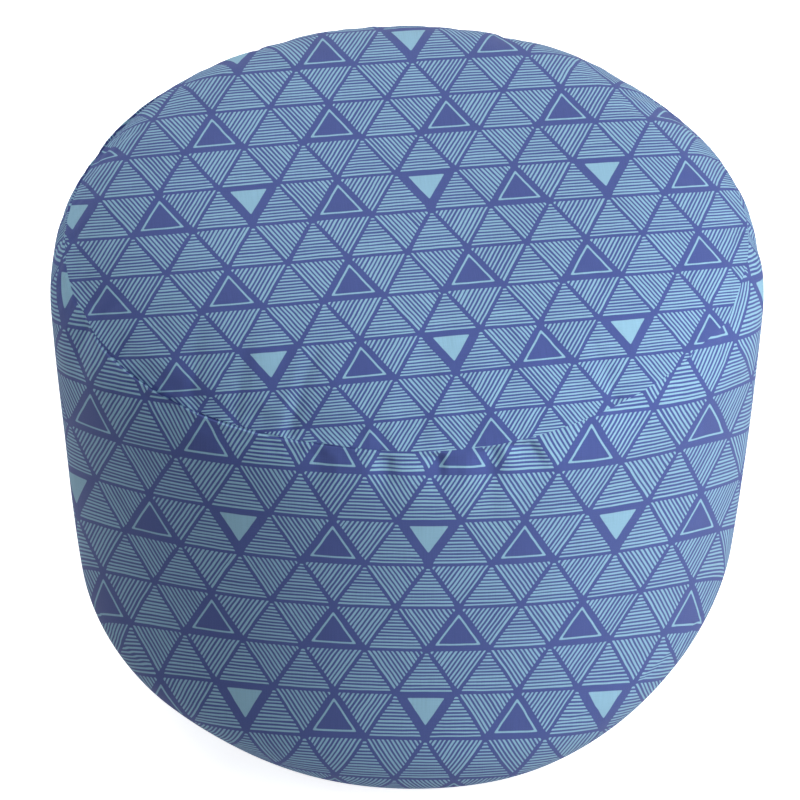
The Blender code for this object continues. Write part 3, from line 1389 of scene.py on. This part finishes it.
@dataclass
class TopPanel(Panel):
    """The crowned round panel.

    Its print lies a little askew, and as it is seen from the front, so it is stretched
    over the back and at the sides. The print's fields say how its sides and rows run with
    the place on the panel and with the rise above the seam, in metres.
    """

    # How the print's sides and rows run over the panel
    first_side: float = 1.1976
    sides_per_x: float = 18.78
    sides_per_y: float = 1.51
    sides_per_xy: float = -2.03
    sides_per_yy: float = -1.63
    first_row: float = 3.5227
    rows_per_x: float = 2.265
    rows_per_y: float = -17.37
    rows_per_rise: float = -23.55
    rows_per_xx: float = -1.18
    rows_per_xy: float = -1.45
    band_above_rows: float = 0.0037
    crown_power: float = 5.1
    far_from: float = 0.76
    far_slope: float = 8.4
    far_bend: float = 19.6
    behind_from: float = 0.1
    behind_to: float = 0.8

    # The cloth's own shape
    level_from: float = 0.120
    sink_from: float = 0.004
    troughs: tuple[Trough, ...] = (
        Trough((-0.0995, -0.2876), (-0.0850, -0.2520), 0.0065, 0.0024),
        Trough((-0.1452, -0.2680), (-0.1402, -0.2417), 0.0055, 0.0014),
        Trough((-0.1828, -0.2426), (-0.1806, -0.2155), 0.0060, 0.0016),
        Trough((-0.2420, -0.1750), (-0.2050, -0.1520), 0.0070, 0.0014),
        Trough((0.1790, -0.2480), (0.1640, -0.2230), 0.0065, 0.0015),
        Trough((0.2710, -0.1250), (0.2400, -0.1080), 0.0065, 0.0012),
        Trough((0.2480, 0.1750), (0.2200, 0.1540), 0.0065, 0.0018),
        Trough((0.1040, 0.2860), (0.0930, 0.2560), 0.0060, 0.0014),
        Trough((-0.1560, 0.2590), (-0.1380, 0.2310), 0.0065, 0.0018),
        Trough((-0.2820, 0.1140), (-0.2530, 0.1010), 0.0060, 0.0016),
    )
    tuck_reach: float = 0.019
    filled: tuple[Swell, ...] = (
        Swell(-47.0, 9.0, 0.0038),
        Swell(-29.0, 7.0, 0.0014),
    )
    filled_inside: float = 0.014
    filled_breadth: float = 0.011

    def is_fine(self, place: Vector) -> bool:
        """Return whether a point lies near the seam."""
        radius = math.hypot(place.x, place.y)
        return self.seam.radius - radius < self.fine_reach

    def is_outer(self, place: Vector, normal: Vector) -> bool:
        """Return whether a point lies on the crown."""
        return normal.z > 0.0 or math.hypot(place.x, place.y) > self.seam.radius - self.fine_reach

    def tilt_at(self, inside: float) -> float:
        """Return how far the crown's outward direction points up."""
        steepest = self.seam.pull_tilt
        return steepest + (math.pi / 2.0 - steepest) * ease(inside / self.level_from)

    def settled(self, place: Vector) -> Vector:
        """Return how a point of the crown moves to where the seam really runs."""
        inside = self.seam.inside_of(place)
        return self.seam.settle(bearing_of(place), inside, self.tilt_at(inside))

    def raised(self, place: Vector) -> Vector:
        """Return how a point of the crown moves in its valleys and ripples.

        Args:
            place: The point.

        Returns:
            The move.
        """
        bearing = bearing_of(place)
        inside = max(self.seam.radius - math.hypot(place.x, place.y), 0.0)
        height = self.seam.ripple(bearing, inside)
        sink = sum(trough.at(place) for trough in self.troughs)
        filled = self.seam.sum_at(self.filled, bearing)
        sink -= filled * bell(inside - self.filled_inside, self.filled_breadth)
        height -= sink * ease(inside / self.sink_from)
        height += self.filling.rise_at(place)
        tuck = self.seam.tuck(bearing, 1.0 - ease(inside / self.tuck_reach))
        return outward(bearing, self.tilt_at(inside)) * height + tuck

    def print_at(self, place: Vector, bearing: float) -> tuple[float, float]:
        """Return the print's coordinates at a point of the top panel.

        Args:
            place: The point.
            bearing: The point's bearing in radians.

        Returns:
            The triangle sides across and the rows down.
        """
        x, y = place.x, place.y
        across = self.first_side + self.sides_per_x * x + self.sides_per_y * y
        across += self.sides_per_xy * x * y + self.sides_per_yy * y * y
        rows = self.first_row + self.rows_per_x * x + self.rows_per_y * y
        rows += self.rows_per_xx * x * x + self.rows_per_xy * x * y
        rows += self.rows_per_rise * self.rise(place)
        return across, rows

    def rise(self, place: Vector) -> float:
        """Return the height above the seam that the print's rows follow.

        Past the crown's far shoulder the rows keep to a length of their own, so they
        stretch less where the cloth turns away.

        Args:
            place: The point.

        Returns:
            The height.
        """
        height = place.z - self.rows_height
        radius = math.hypot(place.x, place.y)
        past = radius / self.seam.radius - self.far_from
        turned = place.y / max(radius, SAME_POINT) - self.behind_from
        behind = ease(turned / (self.behind_to - self.behind_from))
        if past <= 0.0 or behind <= 0.0:
            return height
        fall = self.seam.radius * (self.far_slope * past - self.far_bend * past * past)
        edge = self.crown * (1.0 - self.far_from**self.crown_power)
        eased = edge + fall / self.rows_per_rise
        return height + (eased - height) * behind

    def build(self) -> bpy.types.Object:
        """Read the crown's height off the frame, then make the cover.

        Returns:
            The cover.
        """
        self.rows_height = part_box("side_band")[1].z - self.band_above_rows
        self.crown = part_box(self.node)[1].z - self.rows_height
        return super().build()


@dataclass
class BasePanel(Panel):
    """The plain round panel that the pouf stands on."""

    sides_per_metre: float = 18.25

    def print_at(self, place: Vector, bearing: float) -> tuple[float, float]:
        """Return the weave's coordinates at a point of the base."""
        return place.x * self.sides_per_metre, place.y * self.sides_per_metre


def read_places(mesh: bpy.types.Mesh) -> np.ndarray:
    """Return the places of a mesh's points, a row each.

    Args:
        mesh: The mesh.

    Returns:
        The places, a row for each point.
    """
    flat = np.empty(3 * len(mesh.vertices))
    mesh.vertices.foreach_get("co", flat)
    return flat.reshape(-1, 3)


def runs_round(edge: bmesh.types.BMEdge) -> bool:
    """Return whether an edge runs round the pouf more than up or down it.

    Args:
        edge: The edge.

    Returns:
        True where it runs round.
    """
    first, second = (corner.co for corner in edge.verts)
    radius = math.hypot(first.x, first.y)
    turn = math.radians(turn_between(*(math.degrees(bearing_of(end)) for end in (first, second))))
    up_or_in = math.hypot(radius - math.hypot(second.x, second.y), first.z - second.z)
    return abs(turn) * radius > up_or_in


def apply_modifiers(piece: bpy.types.Object) -> None:
    """Replace a piece's mesh with the one that its modifiers make.

    Args:
        piece: The object, which keeps no modifier.
    """
    graph = bpy.context.evaluated_depsgraph_get()
    made = bpy.data.meshes.new_from_object(piece.evaluated_get(graph))
    old = piece.data
    piece.modifiers.clear()
    piece.data = made
    bpy.data.meshes.remove(old)
    made.name = piece.name


@dataclass(frozen=True)
class Lamp:
    """One square lamp that points at the pouf."""

    name: str
    place: tuple[float, float, float]
    size: float
    power: float
    target: tuple[float, float, float] = (0.0, 0.0, 0.3)

    def hang(self) -> None:
        """Hang the lamp."""
        light = bpy.data.lights.new(self.name, "AREA")
        light.size = self.size
        light.energy = self.power
        holder = bpy.data.objects.new(self.name, light)
        holder.location = self.place
        towards = Vector(self.target) - Vector(self.place)
        holder.rotation_euler = towards.to_track_quat("-Z", "Y").to_euler()
        bpy.context.scene.collection.objects.link(holder)


@dataclass
class Studio:
    """The camera at the photograph's angle, a pale floor and soft light."""

    camera_place: tuple[float, float, float] = (-0.006, -2.5144, 2.4128)
    camera_pitch: float = math.radians(49.45)
    lens: float = 157.5
    farthest_view: float = 100.0
    floor_radius: float = 30.0
    floor_sides: int = 96
    floor_tone: float = 0.92
    floor_roughness: float = 0.9
    floor_glow: float = 0.78
    sky: tuple[float, float, float] = (1.0, 1.0, 1.0)
    sky_strength: float = 0.282
    lamps: tuple[Lamp, ...] = (
        Lamp("key", (2.23, -0.87, 2.1), 2.0, 82.0),
        Lamp("low_key", (2.8, -1.3, 0.9), 1.6, 26.0),
        Lamp("back_left", (-1.8, 1.8, 2.2), 2.0, 59.0),
        Lamp("low_front", (0.4, -3.0, 0.35), 1.4, 26.0),
    )

    def build(self) -> None:
        """Set the camera, the floor and the lights."""
        self.set_camera()
        self.lay_floor()
        self.light_sky()
        for lamp in self.lamps:
            lamp.hang()
        bpy.context.scene.view_settings.view_transform = "Standard"

    def set_camera(self) -> None:
        """Place the camera where the photograph was taken from."""
        camera = bpy.data.objects.new("photo_camera", bpy.data.cameras.new("photo_camera"))
        camera.data.lens = self.lens
        camera.data.clip_end = self.farthest_view
        camera.location = self.camera_place
        camera.rotation_euler = (self.camera_pitch, 0.0, 0.0)
        bpy.context.scene.collection.objects.link(camera)
        bpy.context.scene.camera = camera

    def lay_floor(self) -> None:
        """Lay a wide pale floor under the pouf."""
        disc = bmesh.new()
        bmesh.ops.create_circle(
            disc,
            cap_ends=True,
            segments=self.floor_sides,
            radius=self.floor_radius,
        )
        mesh = bpy.data.meshes.new("floor")
        disc.to_mesh(mesh)
        disc.free()
        floor = bpy.data.objects.new("floor", mesh)
        bpy.context.scene.collection.objects.link(floor)
        material = bpy.data.materials.new("pale_floor")
        material.use_nodes = True
        shader = material.node_tree.nodes["Principled BSDF"]
        shader.inputs["Base Color"].default_value = (self.floor_tone,) * 3 + (1.0,)
        shader.inputs["Roughness"].default_value = self.floor_roughness
        shader.inputs["Emission Color"].default_value = (1.0, 1.0, 1.0, 1.0)
        shader.inputs["Emission Strength"].default_value = self.floor_glow
        mesh.materials.append(material)
        floor.visible_diffuse = False

    def light_sky(self) -> None:
        """Light the whole scene with an even pale sky."""
        world = bpy.data.worlds.new("studio")
        world.use_nodes = True
        sky = world.node_tree.nodes["Background"]
        sky.inputs["Color"].default_value = (*self.sky, 1.0)
        sky.inputs["Strength"].default_value = self.sky_strength
        bpy.context.scene.world = world


PRINTED_COTTON = CottonFinish(
    name="printed_cotton",
    ground=(0.062, 0.090, 0.280),
    light=(0.250, 0.451, 0.601),
    chart=TrianglePrint(),
)
PLAIN_COTTON = CottonFinish(
    name="plain_cotton",
    ground=(0.054, 0.072, 0.220),
    light=(0.054, 0.072, 0.220),
    chart=None,
)


def main() -> None:
    """Dress the pouf and light it."""
    logging.basicConfig(level=logging.INFO, format="%(name)s: %(message)s")
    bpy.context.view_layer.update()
    Studio().build()
    seam = SeamLine()
    filling = Filling()
    filling.press(seam)
    for kind, node, slot, finish in (
        (TopPanel, "top_panel", Slot.PRINTED, PRINTED_COTTON),
        (SideBand, "side_band", Slot.PRINTED, PRINTED_COTTON),
        (BasePanel, "base_panel", Slot.PLAIN, PLAIN_COTTON),
    ):
        kind(node, f"{node}_cover", slot, finish, seam, filling).build()


if __name__ == "__main__":
    main()
